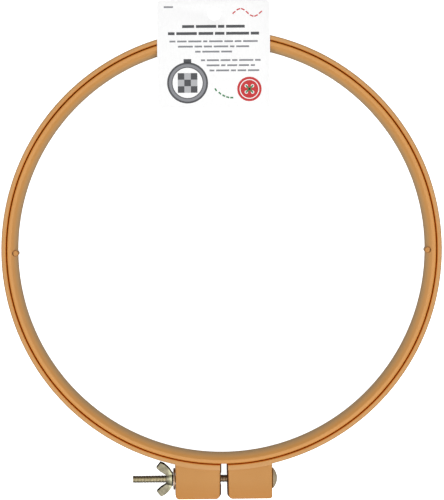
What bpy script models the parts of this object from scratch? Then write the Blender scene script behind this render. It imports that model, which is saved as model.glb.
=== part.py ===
"""Quilting hoop, 12 inch, with a grooved inner hoop and a tongued outer hoop.

The hoop lies flat. The hoop's axis is the Z axis, +Y points to the hang card at
12 o'clock, and the clamp's two lugs are at 6 o'clock, towards -Y. The clamp bolt
runs along X, with its head at +X and the wing nut at -X.
"""
import math

import bmesh
import bpy
from mathutils import Matrix, Vector

MM = 0.001

# Hoop pair. The hoop's size is the outer diameter of the inner hoop.
HOOP_DIAMETER = 304.8 * MM
HOOP_HEIGHT = 15.9 * MM
SEAM_CLEARANCE = 0.8 * MM

# Inner hoop: two rounded lobes with a groove between, and a wall that bulges inwards
LOBE_DEPTH = 3.4 * MM
LOBE_CORNER = 1.2 * MM
LOBE_SEAM_CORNER = 0.8 * MM
BULGE_DEPTH = 3.6 * MM
BULGE_HALF_HEIGHT = 6.7 * MM
SPINE_THICKNESS = 3.1 * MM
GROOVE_MOUTH_ROUND = 0.8 * MM
GROOVE_FLOOR_ROUND = 1.5 * MM

# Outer hoop: a flat bar with rounded ends, and a tongue that enters the groove
BAR_THICKNESS = 3.4 * MM
BAR_CORNER = 1.3 * MM
BAR_SEAM_CORNER = 0.6 * MM
TONGUE_DEPTH = 3.0 * MM
TONGUE_HEIGHT = 4.4 * MM
TONGUE_NOSE_ROUND = 1.8 * MM
TONGUE_ROOT_ROUND = 0.6 * MM
TONGUE_CLEARANCE = 0.5 * MM

# Round bosses on the inner hoop's wall, at 9 and 3 o'clock
BOSS_DIAMETER = 5.0 * MM
BOSS_HEIGHT = 9.0 * MM
BOSS_STANDOUT = 0.9 * MM
BOSS_BACKING = 0.4 * MM

# Clamp lugs, moulded on the outer hoop at each side of its split
LUG_LENGTH = 32.1 * MM
LUG_REACH = 21.6 * MM
LUG_RECESS = 0.5 * MM
LUG_GAP = 4.8 * MM
LUG_DRAFT = 0.5 * MM
LUG_INNER_CORNER = 3.0 * MM
LUG_OUTER_CORNER = 1.6 * MM
LUG_EDGE_ROUND = 0.8 * MM

# The two halves of the outer hoop meet at 12 o'clock, where the real one bends
SPLIT_GAP = 0.3 * MM

# Carriage bolt, number 10 with 24 threads to the inch
BOLT_OFFSET = 7.9 * MM
BOLT_DIAMETER = 4.83 * MM
BOLT_LENGTH = 100.3 * MM
BOLT_TIP_CHAMFER = 0.6 * MM
HEAD_DIAMETER = 14.5 * MM
HEAD_HEIGHT = 3.4 * MM
HEAD_RIM = 0.5 * MM
NECK_WIDTH = 4.9 * MM
NECK_LENGTH = 2.6 * MM

# Fits round the bolt. The left lug swings round the bolt, so its hole is wide.
SEAT_GAP = 0.3 * MM
NECK_CLEARANCE = 0.3 * MM
SHANK_CLEARANCE = 0.3 * MM
SWING_CLEARANCE = 2.0 * MM

WASHER_DIAMETER = 15.5 * MM
WASHER_THICKNESS = 1.2 * MM
WASHER_CHAMFER = 0.15 * MM

# Wing nut. Its wings lean outwards, and away from the face that bears on the washer.
# It is shown with the wing on the hoop's side turned up.
NUT_BASE_DIAMETER = 10.2 * MM
NUT_BACK_DIAMETER = 8.0 * MM
NUT_HUB_LENGTH = 4.9 * MM
NUT_FOOT = 0.6 * MM
WING_RADIUS = 13.4 * MM
WING_REACH = 11.0 * MM
WING_WIDTH = 4.6 * MM
WING_THICKNESS = 2.3 * MM
WING_TIP_ROUND = 1.6 * MM
WING_SHOULDER = 0.6 * MM
WING_TURN = math.radians(30)

# Hang card: a flat front sheet, and a back sheet that passes round behind the hoop
CARD_WIDTH = 78.7 * MM
CARD_HEIGHT = 75.7 * MM
CARD_OVERHANG = 20.7 * MM
CARD_OFFSET = -4.9 * MM
CARD_THICKNESS = 0.5 * MM
CARD_CORNER = 3.0 * MM
CARD_GAP = 0.3 * MM
CARD_RIM_CLEARANCE = 1.9 * MM
CARD_BACK_LEAN = 3.0 * MM
CARD_FRONT_LEAN = 24.0 * MM
CARD_FOLD_ROUND = 1.2 * MM
PEG_HOLE_DIAMETER = 9.1 * MM
PEG_HOLE_DROP = 9.7 * MM
PEG_HOLE_SHIFT = 0.75 * MM

# Facets, and the angles from which an edge is rounded or shaded sharp
RING_SEGMENTS = 96
ROUND_SEGMENTS = 32
ARC_STEPS = 2
BULGE_STEPS = 7
DOME_STEPS = 5
BEVEL_ANGLE = math.radians(60)
SHADING_ANGLE = math.radians(40)

# Sizes and places that follow from the ones above
INNER_OUTSIDE = HOOP_DIAMETER / 2
LOBE_INSIDE = INNER_OUTSIDE - LOBE_DEPTH
BULGE_INSIDE = LOBE_INSIDE - BULGE_DEPTH
GROOVE_FLOOR = BULGE_INSIDE + SPINE_THICKNESS
GROOVE_HALF_HEIGHT = TONGUE_HEIGHT / 2 + TONGUE_CLEARANCE
BOSS_INSIDE = BULGE_INSIDE - BOSS_STANDOUT
OUTER_INSIDE = INNER_OUTSIDE + SEAM_CLEARANCE
RIM = OUTER_INSIDE + BAR_THICKNESS
BAR_MIDDLE = OUTER_INSIDE + BAR_THICKNESS / 2
TONGUE_TIP = OUTER_INSIDE - TONGUE_DEPTH

BASE = CARD_THICKNESS + CARD_GAP
MIDDLE = BASE + HOOP_HEIGHT / 2
TOP = BASE + HOOP_HEIGHT
HALF_HEIGHT = HOOP_HEIGHT / 2

LUG_END = RIM + LUG_REACH
LUG_INNER_FACE = LUG_GAP / 2
LUG_OUTER_FACE = LUG_INNER_FACE + LUG_LENGTH
BOLT_LINE = RIM + BOLT_OFFSET
WASHER_FACE = LUG_OUTER_FACE + SEAT_GAP
NUT_FACE = WASHER_FACE + WASHER_THICKNESS + SEAT_GAP
BORE_RADIUS = BOLT_DIAMETER / 2 + SHANK_CLEARANCE

CARD_TOP = RIM + CARD_OVERHANG
CARD_FOOT = CARD_TOP - CARD_HEIGHT
CARD_HALF_WIDTH = CARD_WIDTH / 2
CARD_FRONT_LOW = TOP + CARD_GAP


def srgb(red, green, blue):
    """Linear colour for an 8-bit screen colour."""
    def linear(value):
        value /= 255
        return value / 12.92 if value <= 0.04045 else ((value + 0.055) / 1.055) ** 2.4
    return (linear(red), linear(green), linear(blue), 1.0)


def make_material(name, colour, roughness, metallic=0.0):
    material = bpy.data.materials.new(name)
    material.use_nodes = True
    shader = material.node_tree.nodes["Principled BSDF"]
    shader.inputs["Base Color"].default_value = colour
    shader.inputs["Roughness"].default_value = roughness
    shader.inputs["Metallic"].default_value = metallic
    return material


def rounded(corners, closed=True, steps=ARC_STEPS):
    """Outline through (a, b, radius) corners, with each corner turned into an arc."""
    outline = []
    for index, (a, b, radius) in enumerate(corners):
        corner = Vector((a, b))
        at_end = not closed and index in (0, len(corners) - 1)
        if radius == 0 or at_end:
            outline.append(corner)
            continue
        before = (Vector(corners[index - 1][:2]) - corner).normalized()
        after = (Vector(corners[(index + 1) % len(corners)][:2]) - corner).normalized()
        half_angle = before.angle(after) / 2
        centre = corner + (before + after).normalized() * radius / math.sin(half_angle)
        start = corner + before * radius / math.tan(half_angle) - centre
        end = corner + after * radius / math.tan(half_angle) - centre
        sweep = math.atan2(start.cross(end), start.dot(end))
        for step in range(steps + 1):
            outline.append(centre + Matrix.Rotation(sweep * step / steps, 2) @ start)
    return outline


def add_object(name, mesh, collection, material=None):
    thing = bpy.data.objects.new(name, mesh)
    collection.objects.link(thing)
    if material:
        mesh.materials.append(material)
    return thing


def turned(name, outline, segments, collection, material, closed=True):
    """Body turned round Z from an (r, z) outline that runs down its outer side."""
    shape = bmesh.new()
    verts = [shape.verts.new((r, 0, z)) for r, z in outline]
    for first, second in zip(verts, verts[1:]):
        shape.edges.new((first, second))
    if closed:
        shape.edges.new((verts[-1], verts[0]))
    mesh = bpy.data.meshes.new(name)
    shape.to_mesh(mesh)
    shape.free()
    thing = add_object(name, mesh, collection, material)
    turn = thing.modifiers.new("turn", "SCREW")
    turn.angle = 2 * math.pi
    turn.steps = turn.render_steps = segments
    turn.use_merge_vertices = True
    turn.merge_threshold = 0.02 * MM
    return thing


def plate(name, outline, low, high, collection, material=None):
    """Flat plate with an (x, y) outline, between two heights."""
    shape = bmesh.new()
    face = shape.faces.new([shape.verts.new((x, y, low)) for x, y in outline])
    grown = bmesh.ops.extrude_face_region(shape, geom=[face])["geom"]
    lifted = [item for item in grown if isinstance(item, bmesh.types.BMVert)]
    bmesh.ops.translate(shape, verts=lifted, vec=(0, 0, high - low))
    bmesh.ops.recalc_face_normals(shape, faces=shape.faces)
    mesh = bpy.data.meshes.new(name)
    shape.to_mesh(mesh)
    shape.free()
    return add_object(name, mesh, collection, material)


def cylinder(name, radius, length, place, collection, segments=ROUND_SEGMENTS, axis="Z"):
    """Solid cylinder centred on a place, along Z or X."""
    shape = bmesh.new()
    bmesh.ops.create_cone(shape, cap_ends=True, segments=segments, radius1=radius,
                          radius2=radius, depth=length)
    if axis == "X":
        bmesh.ops.rotate(shape, verts=shape.verts, matrix=Matrix.Rotation(math.pi / 2, 3, "Y"))
    mesh = bpy.data.meshes.new(name)
    shape.to_mesh(mesh)
    shape.free()
    thing = add_object(name, mesh, collection)
    thing.location = place
    return thing


def block(name, low, high, collection):
    """Solid box between two corners."""
    low, high = Vector(low), Vector(high)
    shape = bmesh.new()
    bmesh.ops.create_cube(shape, size=1)
    bmesh.ops.scale(shape, verts=shape.verts, vec=high - low)
    mesh = bpy.data.meshes.new(name)
    shape.to_mesh(mesh)
    shape.free()
    thing = add_object(name, mesh, collection)
    thing.location = (low + high) / 2
    return thing


def combine(thing, operation, tool):
    """Boolean with a helper shape, which the part itself leaves out."""
    tool.hide_render = True
    tool.display_type = "WIRE"
    step = thing.modifiers.new(operation.lower() + " " + tool.name, "BOOLEAN")
    step.operation = operation
    step.solver = "EXACT"
    step.object = tool


def joint_empty(name, place, collection):
    empty = bpy.data.objects.new(name, None)
    empty.empty_display_size = 10 * MM
    empty.location = place
    collection.objects.link(empty)
    return empty


def hang_on(thing, empty):
    """Parent a piece to its joint's empty, and keep it where it is."""
    thing.parent = empty
    thing.location -= empty.location


def make_boss(side, cutters):
    """Boss on the inner wall, kept out of the groove behind it."""
    place = (side * (BOSS_INSIDE + BOSS_DIAMETER / 2), 0, MIDDLE)
    boss = cylinder("boss", BOSS_DIAMETER / 2, BOSS_HEIGHT, place, cutters, ROUND_SEGMENTS // 2)
    limit = cylinder("boss_limit", GROOVE_FLOOR - BOSS_BACKING, HOOP_HEIGHT, (0, 0, MIDDLE),
                     cutters, RING_SEGMENTS)
    combine(boss, "INTERSECT", limit)
    return boss


def make_inner_hoop(parts, cutters, plastic):
    crown = [
        (LOBE_INSIDE, HALF_HEIGHT, LOBE_CORNER),
        (INNER_OUTSIDE, HALF_HEIGHT, LOBE_SEAM_CORNER),
        (INNER_OUTSIDE, GROOVE_HALF_HEIGHT, GROOVE_MOUTH_ROUND),
        (GROOVE_FLOOR, GROOVE_HALF_HEIGHT, GROOVE_FLOOR_ROUND),
    ]
    foot = [(r, -z, radius) for r, z, radius in reversed(crown)]
    crease_low = (LOBE_INSIDE, -BULGE_HALF_HEIGHT, 0)
    crease_high = (LOBE_INSIDE, BULGE_HALF_HEIGHT, 0)
    outline = rounded(crown + foot + [crease_low, crease_high])
    outline = outline[:-1] + bulge_arc()[1:]
    hoop = turned("inner_hoop", outline, RING_SEGMENTS, parts, plastic)
    hoop.location.z = MIDDLE
    for side in (-1, 1):
        combine(hoop, "UNION", make_boss(side, cutters))
    return hoop


def bulge_arc():
    """Arc of the inner wall, from its lower crease up to its upper one."""
    radius = (BULGE_HALF_HEIGHT ** 2 + BULGE_DEPTH ** 2) / (2 * BULGE_DEPTH)
    half_angle = math.asin(BULGE_HALF_HEIGHT / radius)
    centre = BULGE_INSIDE + radius
    turns = [-half_angle + 2 * half_angle * step / BULGE_STEPS
             for step in range(BULGE_STEPS + 1)]
    return [Vector((centre - radius * math.cos(turn), radius * math.sin(turn)))
            for turn in turns]


def make_lug(side, cutters):
    """Clamp lug of one half, drawn in past the hoop's bar and cut to sit on it."""
    outer_root = math.sqrt(TONGUE_TIP ** 2 - LUG_OUTER_FACE ** 2)
    outline = rounded([
        (side * LUG_INNER_FACE, -TONGUE_TIP, 0),
        (side * LUG_INNER_FACE, -RIM, 0),
        (side * (LUG_INNER_FACE + LUG_DRAFT), -LUG_END, LUG_INNER_CORNER),
        (side * LUG_OUTER_FACE, -LUG_END, LUG_OUTER_CORNER),
        (side * LUG_OUTER_FACE, -outer_root, 0),
    ])
    lug = plate("lug", outline, BASE + LUG_RECESS, TOP - LUG_RECESS, cutters)
    edge = lug.modifiers.new("edge round", "BEVEL")
    edge.width = LUG_EDGE_ROUND
    edge.segments = 2
    edge.limit_method = "ANGLE"
    edge.angle_limit = BEVEL_ANGLE
    saddle = cylinder("lug_saddle", BAR_MIDDLE, 2 * HOOP_HEIGHT, (0, 0, MIDDLE), cutters,
                      RING_SEGMENTS)
    combine(lug, "DIFFERENCE", saddle)
    return lug


def make_outer_half(name, side, parts, cutters, plastic):
    """Half of the outer hoop with its lug; side is -1 at the left and +1 at the right."""
    corners = [
        (OUTER_INSIDE, HALF_HEIGHT, BAR_SEAM_CORNER),
        (RIM, HALF_HEIGHT, BAR_CORNER),
        (RIM, -HALF_HEIGHT, BAR_CORNER),
        (OUTER_INSIDE, -HALF_HEIGHT, BAR_SEAM_CORNER),
        (OUTER_INSIDE, -TONGUE_HEIGHT / 2, TONGUE_ROOT_ROUND),
        (TONGUE_TIP, -TONGUE_HEIGHT / 2, TONGUE_NOSE_ROUND),
        (TONGUE_TIP, TONGUE_HEIGHT / 2, TONGUE_NOSE_ROUND),
        (OUTER_INSIDE, TONGUE_HEIGHT / 2, TONGUE_ROOT_ROUND),
    ]
    half = turned(name, rounded(corners), RING_SEGMENTS, parts, plastic)
    half.location.z = MIDDLE
    far = 2 * RIM
    keep = sorted([side * SPLIT_GAP / 2, side * far])
    combine(half, "INTERSECT", block("half_space", (keep[0], -far, -far), (keep[1], far, far),
                                     cutters))
    combine(half, "DIFFERENCE", block("clamp_gap", (-LUG_INNER_FACE, -far, -far),
                                      (LUG_INNER_FACE, 0, far), cutters))
    combine(half, "UNION", make_lug(side, cutters))
    return half


def bore_lug(half, side, radius, cutters):
    place = (side * (LUG_INNER_FACE + LUG_LENGTH / 2), -BOLT_LINE, MIDDLE)
    bore = cylinder("lug_bore", radius, 2 * LUG_LENGTH - LUG_GAP, place, cutters, axis="X")
    combine(half, "DIFFERENCE", bore)


def pocket_neck(half, cutters):
    """Square pocket in the right lug, which stops the bolt from turning."""
    reach = NECK_WIDTH / 2 + NECK_CLEARANCE
    low = (LUG_OUTER_FACE - NECK_LENGTH - NECK_CLEARANCE, -BOLT_LINE - reach, MIDDLE - reach)
    high = (LUG_OUTER_FACE + NECK_LENGTH, -BOLT_LINE + reach, MIDDLE + reach)
    combine(half, "DIFFERENCE", block("neck_pocket", low, high, cutters))


def make_bolt(parts, cutters, metal):
    """Round-headed bolt. It is turned round its own Z, which then points to +X."""
    dome_radius = ((HEAD_DIAMETER / 2) ** 2 + (HEAD_HEIGHT - HEAD_RIM) ** 2) / (
        2 * (HEAD_HEIGHT - HEAD_RIM))
    dome_angle = math.asin(HEAD_DIAMETER / 2 / dome_radius)
    dome_centre = HEAD_HEIGHT - dome_radius
    turns = [dome_angle * step / DOME_STEPS for step in range(DOME_STEPS + 1)]
    outline = [(dome_radius * math.sin(turn), dome_centre + dome_radius * math.cos(turn))
               for turn in turns]
    shank = BOLT_DIAMETER / 2
    outline += [
        (HEAD_DIAMETER / 2, 0),
        (shank, 0),
        (shank, -BOLT_LENGTH + BOLT_TIP_CHAMFER),
        (shank - BOLT_TIP_CHAMFER, -BOLT_LENGTH),
        (0, -BOLT_LENGTH),
    ]
    bolt = turned("carriage_bolt", outline, ROUND_SEGMENTS, parts, metal, closed=False)
    bolt.rotation_euler.y = math.pi / 2
    bolt.location = (LUG_OUTER_FACE + SEAT_GAP, -BOLT_LINE, MIDDLE)
    low = (LUG_OUTER_FACE - NECK_LENGTH, -BOLT_LINE - NECK_WIDTH / 2, MIDDLE - NECK_WIDTH / 2)
    high = (LUG_OUTER_FACE + SEAT_GAP + HEAD_RIM, -BOLT_LINE + NECK_WIDTH / 2,
            MIDDLE + NECK_WIDTH / 2)
    combine(bolt, "UNION", block("square_neck", low, high, cutters))
    return bolt


def place_on_bolt(thing, face):
    """Put a piece built along +Z on the bolt, with its base at a distance to the left."""
    thing.rotation_euler.y = -math.pi / 2
    thing.location = (-face, -BOLT_LINE, MIDDLE)


def make_washer(parts, metal):
    outline = [
        (BORE_RADIUS, WASHER_THICKNESS),
        (WASHER_DIAMETER / 2 - WASHER_CHAMFER, WASHER_THICKNESS),
        (WASHER_DIAMETER / 2, WASHER_THICKNESS - WASHER_CHAMFER),
        (WASHER_DIAMETER / 2, 0),
        (BORE_RADIUS, 0),
    ]
    washer = turned("washer", outline, ROUND_SEGMENTS, parts, metal)
    place_on_bolt(washer, WASHER_FACE)
    return washer


def make_wing(side, nut, cutters):
    """One wing, drawn as (distance from the axis, distance from the bearing face)."""
    root = (BORE_RADIUS + NUT_BACK_DIAMETER / 2) / 2
    foot = Vector((NUT_BASE_DIAMETER / 2, NUT_FOOT))
    crown = Vector((WING_RADIUS, WING_REACH - WING_WIDTH / 2))
    out = (crown - foot).normalized()
    across = Vector((-out.y, out.x))
    shoulder = (foot + crown) / 2 - across * WING_SHOULDER
    brow = crown - out * WING_TIP_ROUND
    heel = crown + across * WING_WIDTH - out * WING_WIDTH / 2
    outline = rounded([
        (side * root, NUT_FOOT, 0),
        (side * foot.x, foot.y, 0),
        (side * shoulder.x, shoulder.y, WING_WIDTH),
        (side * brow.x, brow.y, 0),
        (side * WING_RADIUS, crown.y, WING_TIP_ROUND / 2),
        (side * heel.x, WING_REACH, WING_TIP_ROUND),
        (side * root, NUT_HUB_LENGTH - NUT_FOOT, 0),
    ])
    wing = plate("wing", outline, -WING_THICKNESS / 2, WING_THICKNESS / 2, cutters)
    wing.rotation_euler = (math.pi / 2, 0, math.pi / 2)
    wing.parent = nut
    return wing


def make_wing_nut(parts, cutters, metal):
    """Wing nut, built along its own Z from its bearing face."""
    outline = [
        (BORE_RADIUS, NUT_HUB_LENGTH),
        (NUT_BACK_DIAMETER / 2, NUT_HUB_LENGTH),
        (NUT_BASE_DIAMETER / 2, NUT_FOOT),
        (NUT_BASE_DIAMETER / 2, 0),
        (BORE_RADIUS, 0),
    ]
    nut = turned("wing_nut", outline, ROUND_SEGMENTS, parts, metal)
    for side in (-1, 1):
        combine(nut, "UNION", make_wing(side, nut, cutters))
    place_on_bolt(nut, NUT_FACE)
    nut.rotation_mode = "ZYX"
    nut.rotation_euler.x = WING_TURN
    return nut


def card_outline():
    left, right = CARD_OFFSET - CARD_HALF_WIDTH, CARD_OFFSET + CARD_HALF_WIDTH
    return rounded([
        (left, CARD_FOOT, CARD_CORNER),
        (right, CARD_FOOT, CARD_CORNER),
        (right, CARD_TOP, CARD_CORNER),
        (left, CARD_TOP, CARD_CORNER),
    ])


def punch_peg_hole(sheet, cutters):
    place = (CARD_OFFSET + PEG_HOLE_SHIFT, CARD_TOP - PEG_HOLE_DROP, TOP)
    punch = cylinder("peg_punch", PEG_HOLE_DIAMETER / 2, HOOP_HEIGHT, place, cutters)
    combine(sheet, "DIFFERENCE", punch)


def make_card_front(parts, cutters, board):
    front = plate("card_front", card_outline(), CARD_FRONT_LOW, CARD_FRONT_LOW + CARD_THICKNESS,
                  parts, board)
    punch_peg_hole(front, cutters)
    return front


def make_card_back(parts, cutters, board):
    """Back sheet: flat at the head and foot, where it is glued, and looped under the hoop."""
    high = TOP - CARD_THICKNESS / 2
    low = CARD_THICKNESS / 2
    outside = RIM + CARD_RIM_CLEARANCE
    widest = CARD_HALF_WIDTH + abs(CARD_OFFSET)
    inside = math.sqrt(BOSS_INSIDE ** 2 - widest ** 2) - CARD_RIM_CLEARANCE
    path = rounded([
        (CARD_TOP + CARD_CORNER, high, 0),
        (outside + CARD_BACK_LEAN, high, CARD_FOLD_ROUND),
        (outside, low, CARD_FOLD_ROUND),
        (inside, low, CARD_FOLD_ROUND),
        (inside - CARD_FRONT_LEAN, high, CARD_FOLD_ROUND),
        (CARD_FOOT - CARD_CORNER, high, 0),
    ], closed=False)
    shape = bmesh.new()
    edges = []
    verts = [shape.verts.new((CARD_OFFSET - CARD_WIDTH, y, z)) for y, z in path]
    for first, second in zip(verts, verts[1:]):
        edges.append(shape.edges.new((first, second)))
    grown = bmesh.ops.extrude_edge_only(shape, edges=edges)["geom"]
    moved = [item for item in grown if isinstance(item, bmesh.types.BMVert)]
    bmesh.ops.translate(shape, verts=moved, vec=(2 * CARD_WIDTH, 0, 0))
    mesh = bpy.data.meshes.new("card_back")
    shape.to_mesh(mesh)
    shape.free()
    back = add_object("card_back", mesh, parts, board)
    sheet = back.modifiers.new("board", "SOLIDIFY")
    sheet.thickness = CARD_THICKNESS
    sheet.offset = 0
    sheet.use_even_offset = True
    trim = plate("card_trim", card_outline(), -HOOP_HEIGHT, 2 * HOOP_HEIGHT, cutters)
    combine(back, "INTERSECT", trim)
    punch_peg_hole(back, cutters)
    return back


def clear_scene():
    for thing in list(bpy.data.objects):
        bpy.data.objects.remove(thing, do_unlink=True)


def make_collection(name):
    collection = bpy.data.collections.new(name)
    bpy.context.scene.collection.children.link(collection)
    return collection


def main():
    clear_scene()
    parts = make_collection("quilting_hoop")
    cutters = make_collection("cutters")
    outer_plastic = make_material("outer_hoop_plastic", srgb(207, 156, 104), 0.38)
    inner_plastic = make_material("inner_hoop_plastic", srgb(212, 153, 94), 0.38)
    bolt_metal = make_material("bolt_plated_steel", srgb(150, 144, 122), 0.34, 1.0)
    nut_metal = make_material("nut_plated_metal", srgb(172, 168, 146), 0.42, 1.0)
    washer_metal = make_material("washer_plated_steel", srgb(186, 182, 172), 0.3, 1.0)
    board = make_material("card_board", srgb(240, 240, 239), 0.6)

    make_inner_hoop(parts, cutters, inner_plastic)
    left = make_outer_half("outer_hoop_left", -1, parts, cutters, outer_plastic)
    right = make_outer_half("outer_hoop_right", 1, parts, cutters, outer_plastic)
    bore_lug(left, -1, BOLT_DIAMETER / 2 + SWING_CLEARANCE, cutters)
    bore_lug(right, 1, BORE_RADIUS, cutters)
    pocket_neck(right, cutters)
    flex = joint_empty("outer_hoop_flex", (0, BAR_MIDDLE, MIDDLE), parts)
    hang_on(left, flex)

    make_bolt(parts, cutters, bolt_metal)
    make_washer(parts, washer_metal)
    make_wing_nut(parts, cutters, nut_metal)
    make_card_front(parts, cutters, board)
    make_card_back(parts, cutters, board)

    for thing in parts.objects:
        if thing.type == "MESH":
            thing.data.shade_smooth()
            thing.data.set_sharp_from_angle(angle=SHADING_ANGLE)


main()
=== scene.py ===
"""Looks of the quilting hoop: moulded tan hoops, plated clamp hardware and a printed hang card.

The hoop lies flat on a white table and is seen from above, with the card away from the
viewer and the clamp's lugs towards the viewer.
"""
import math

import bmesh
import bpy
from mathutils import Matrix, Vector


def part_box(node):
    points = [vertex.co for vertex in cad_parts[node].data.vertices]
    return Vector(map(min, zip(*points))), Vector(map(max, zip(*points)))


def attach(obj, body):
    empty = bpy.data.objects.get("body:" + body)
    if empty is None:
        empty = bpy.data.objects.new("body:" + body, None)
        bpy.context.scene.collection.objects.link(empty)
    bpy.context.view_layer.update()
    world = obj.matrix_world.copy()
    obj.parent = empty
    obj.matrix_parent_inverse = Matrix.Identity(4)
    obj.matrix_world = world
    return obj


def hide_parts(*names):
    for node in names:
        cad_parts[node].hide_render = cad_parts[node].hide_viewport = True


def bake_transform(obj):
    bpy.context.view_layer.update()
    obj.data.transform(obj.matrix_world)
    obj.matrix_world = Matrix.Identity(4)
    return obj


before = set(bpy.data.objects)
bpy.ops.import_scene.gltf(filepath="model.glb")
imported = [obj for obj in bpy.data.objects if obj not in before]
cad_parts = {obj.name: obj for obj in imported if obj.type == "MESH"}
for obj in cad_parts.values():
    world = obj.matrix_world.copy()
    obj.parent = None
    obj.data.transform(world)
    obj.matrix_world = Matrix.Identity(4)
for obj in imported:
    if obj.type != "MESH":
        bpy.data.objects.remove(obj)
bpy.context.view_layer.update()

MM = 0.001
TAU = 2 * math.pi
WELD = 0.001 * MM

# What the looks add to the frame's sizes at the clamp and the card
CLAMP_SHIFT = 0.35 * MM
HEAD_GROWTH = 0.15 * MM
CARD_GROWTH = 0.35 * MM

# Places and sizes that come from the frame
inner_low, inner_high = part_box("inner_hoop")
right_low, right_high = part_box("outer_hoop_right")
bolt_low, bolt_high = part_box("carriage_bolt")
washer_low, washer_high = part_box("washer")
_, nut_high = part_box("wing_nut")
front_low, front_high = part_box("card_front")

HOOP_RADIUS = inner_high[0]
RIM = right_high[0]
LUG_END = -right_low[1]
BASE, TOP = inner_low[2], inner_high[2]
MIDDLE = (BASE + TOP) / 2
HALF_HEIGHT = (TOP - BASE) / 2
BOLT_LINE = -(bolt_low[1] + bolt_high[1]) / 2
BOLT_TIP = bolt_low[0]
HEAD_TOP = bolt_high[0] + CLAMP_SHIFT
HEAD_RADIUS = (bolt_high[1] - bolt_low[1]) / 2 + HEAD_GROWTH
WASHER_INNER_FACE = washer_high[0] - CLAMP_SHIFT
WASHER_OUTER_FACE = washer_low[0] - CLAMP_SHIFT
WASHER_RADIUS = (washer_high[1] - washer_low[1]) / 2
NUT_FACE = nut_high[0] - CLAMP_SHIFT
CARD_LEFT, CARD_RIGHT = front_low[0] - CARD_GROWTH, front_high[0] + CARD_GROWTH
CARD_FOOT, CARD_TOP = front_low[1], front_high[1]
CARD_FACE = front_high[2]
CARD_THICKNESS = front_high[2] - front_low[2]
CARD_MIDDLE = (CARD_LEFT + CARD_RIGHT) / 2

# Steps round the hoops, the bores and bosses, the peg hole and the clamp's turned pieces
RING_STEPS = 360
BORE_STEPS = 48
PEG_STEPS = 64
BOSS_LIMIT_STEPS = 180
HEAD_STEPS = 72
WASHER_STEPS = 96
NUT_STEPS = 64

# Inner hoop section: a flat crown and foot, and a wall that bulges inwards between them
CROWN_WIDTH = 2.7 * MM
CROWN_ROUND = 0.7 * MM
SEAM_ROUND = 0.7 * MM
BULGE_POINT_DEPTH = 10.0 * MM
BULGE_ROUND = 9.0 * MM
SPINE_THICKNESS = 3.1 * MM
GROOVE_HALF_HEIGHT = 2.7 * MM
GROOVE_MOUTH_ROUND = 0.8 * MM
GROOVE_FLOOR_ROUND = 1.5 * MM
CROWN_INSIDE = HOOP_RADIUS - CROWN_WIDTH
BULGE_POINT = CROWN_INSIDE - BULGE_POINT_DEPTH
BULGE_INSIDE = BULGE_POINT - BULGE_ROUND + BULGE_ROUND / math.sin(
    math.atan2(HALF_HEIGHT, BULGE_POINT_DEPTH))
GROOVE_FLOOR = BULGE_INSIDE + SPINE_THICKNESS

# Outer hoop section
SEAM_CLEARANCE = 0.8 * MM
BAR_ROUND = 1.3 * MM
BAR_SEAM_ROUND = 0.5 * MM
TONGUE_DEPTH = 3.0 * MM
TONGUE_HALF_HEIGHT = 2.2 * MM
TONGUE_NOSE_ROUND = 1.8 * MM
TONGUE_ROOT_ROUND = 0.6 * MM
OUTER_INSIDE = HOOP_RADIUS + SEAM_CLEARANCE
BAR_MIDDLE = (OUTER_INSIDE + RIM) / 2

# Bosses on the inner wall; heights are from the hoop's middle
BOSS_RADIUS = 2.1 * MM
BOSS_STANDOUT = 0.8 * MM
BOSS_TOP = 6.7 * MM
BOSS_FOOT = -1.5 * MM
BOSS_EDGE_ROUND = 0.6 * MM
BOSS_GROOVE_CLEARANCE = 0.3 * MM
MOAT_WIDTH = 0.3 * MM
MOAT_FLOOR = 5.4 * MM
MOAT_TONE_MARGIN = 0.02 * MM
BOSS_MIDDLE = BULGE_INSIDE - BOSS_STANDOUT + BOSS_RADIUS

# Lugs, with the left one's outer corner rounder than the right one's
LUG_GAP = 3.76 * MM
GAP_SHIFT = 0.22 * MM
LUG_LENGTH = 33.17 * MM
LUG_END_GROWTH = 0.35 * MM
LUG_DRAFT = 0.3 * MM
LUG_RECESS = 0.65 * MM
LUG_INNER_CORNER = 3.2 * MM
LUG_OUTER_CORNERS = {-1: 2.7 * MM, 1: 1.8 * MM}
LUG_EDGE_ROUND = 0.6 * MM
LUG_SIDE_DRAFT = 0.4 * MM
LUG_GAP_DRAFT = 1.0 * MM
LUG_RIM_WIDTH = 0.55 * MM
LUG_RIM_ROUND = 0.25 * MM
LUG_RIM_DROP = 0.03 * MM
LUG_TONE_MARGIN = 0.1 * MM
LUG_INNER_FACE = LUG_GAP / 2
LUG_OUTER_FACE = LUG_INNER_FACE + LUG_LENGTH

# Bolt and washer; the bolt's lit band lies LIT_SHIFT nearer the hoop than its middle
BOLT_RADIUS = 2.64 * MM
LIT_SHIFT = 0.4 * MM
THREAD_PITCH = 25.4 / 24 * MM
THREAD_CREST = 0.42 * THREAD_PITCH
THREAD_DEPTH = 0.5 * MM
THREAD_STEPS = 32
HEAD_RIM = 0.45 * MM
HEAD_EDGE_HEIGHT = 0.12 * MM
HEAD_EDGE_WIDTH = 0.2 * MM
HEAD_SEAT_RING = 0.5 * MM
HEAD_DOME_STEPS = 14
NECK_WIDTH = 4.9 * MM
NECK_LENGTH = 2.6 * MM
NECK_CLEARANCE = 0.3 * MM
NECK_EDGE_ROUND = 0.25 * MM
SHANK_BORE = 2.715 * MM
SWING_CLEARANCE = 2.0 * MM
SWING_BORE = BOLT_RADIUS + SWING_CLEARANCE
WASHER_EDGE_ROUND = 0.3 * MM

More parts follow.
